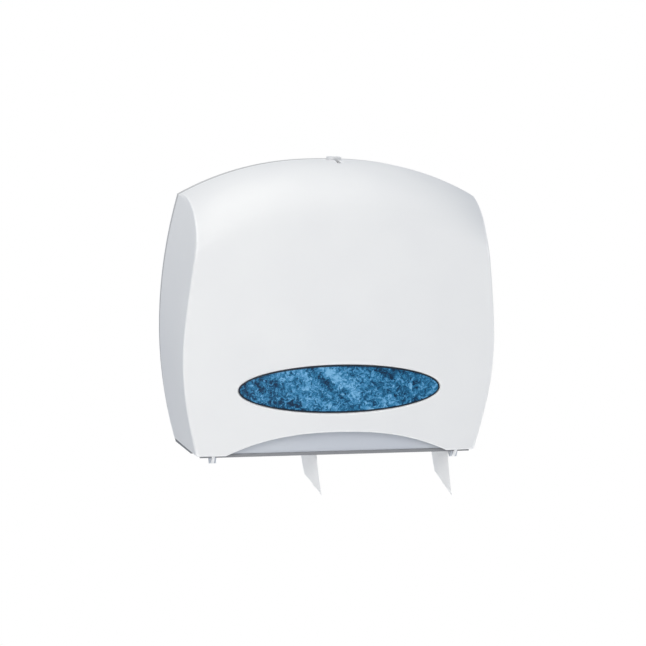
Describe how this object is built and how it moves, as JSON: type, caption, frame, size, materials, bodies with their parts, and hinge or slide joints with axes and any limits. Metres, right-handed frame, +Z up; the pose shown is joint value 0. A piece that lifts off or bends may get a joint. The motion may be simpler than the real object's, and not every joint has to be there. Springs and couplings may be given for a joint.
{
  "type": "jumbo toilet roll dispenser",
  "caption": "Wall-hung lidded dispenser for a large tissue roll and a stub roll, with an arched top, an oval marbled panel and a hinged, latched cover.",
  "frame": {"origin": "middle of the four wall screws, on the wall plane", "axes": "+Z up, +Y into the wall, -Y the front, +X to the right of someone facing the front"},
  "size_m": [0.409, 0.1452, 0.4084],
  "materials": {
    "white_plastic": "moulded, satin gloss",
    "housing_plastic": "moulded, satin",
    "grey_plastic": "moulded, satin blue-grey",
    "dark_plastic": "moulded, dark grey",
    "trim_plastic": "soft dark grey edge strip",
    "blackened_steel": "blackened",
    "ring_plastic": "dark blue, glossy",
    "marbled_panel": "blue marbled sheet, glossy",
    "button_plastic": "moulded, satin",
    "steel": "zinc plated",
    "cardboard": "spiral wound grey-brown board",
    "tissue": "soft off-white tissue"
  },
  "bodies": {
    "housing": {"rear_housing": "housing_plastic", "paper_guide": "grey_plastic", "guide_screws": "steel", "chin_trim": "trim_plastic", "side_rails": "trim_plastic", "tear_bar": "dark_plastic", "tear_bar_rivets": "steel", "hinge_pins": "steel", "latch_housing": "grey_plastic", "latch_screws": "steel", "latch_spring": "steel", "main_post": "grey_plastic", "main_post_screws": "steel", "main_end_cap": "dark_plastic", "main_cap_screw": "steel", "main_tail": "tissue", "stub_post": "grey_plastic", "stub_post_screws": "steel", "stub_end_cap": "dark_plastic", "stub_cap_screw": "steel", "stub_tail": "tissue"},
    "cover": {"front_cover": "white_plastic", "hinge_bracket_left": "white_plastic", "hinge_bracket_right": "white_plastic", "bracket_screws": "steel", "strike": "blackened_steel", "strike_screws": "steel", "panel_ring": "ring_plastic", "oval_panel": "marbled_panel"},
    "latch": {"latch_button": "button_plastic"},
    "main_roll": {"main_hub": "grey_plastic", "main_core": "cardboard", "main_roll_paper": "tissue"},
    "stub_roll": {"stub_hub": "grey_plastic", "stub_core": "cardboard", "stub_roll_paper": "tissue"}
  },
  "joints": [
    {"name": "cover_hinge", "type": "hinge", "parent": "housing", "child": "cover", "pos_m": [0, -0.092, -0.188], "axis": [1, 0, 0], "range_deg": [0, 90]},
    {"name": "latch_press", "type": "slide", "parent": "housing", "child": "latch", "axis": [0, 0, -1], "range_m": [0, 0.0048], "stiffness_N_per_m": 500, "springref_m": -0.004, "deforming": ["latch_spring"]},
    {"name": "main_roll_turn", "type": "hinge", "parent": "housing", "child": "main_roll", "pos_m": [0.019, -0.054, 0.00935], "axis": [0, 1, 0], "continuous": true},
    {"name": "stub_roll_turn", "type": "hinge", "parent": "housing", "child": "stub_roll", "pos_m": [-0.076, -0.054, -0.128], "axis": [0, 1, 0], "continuous": true}
  ]
}
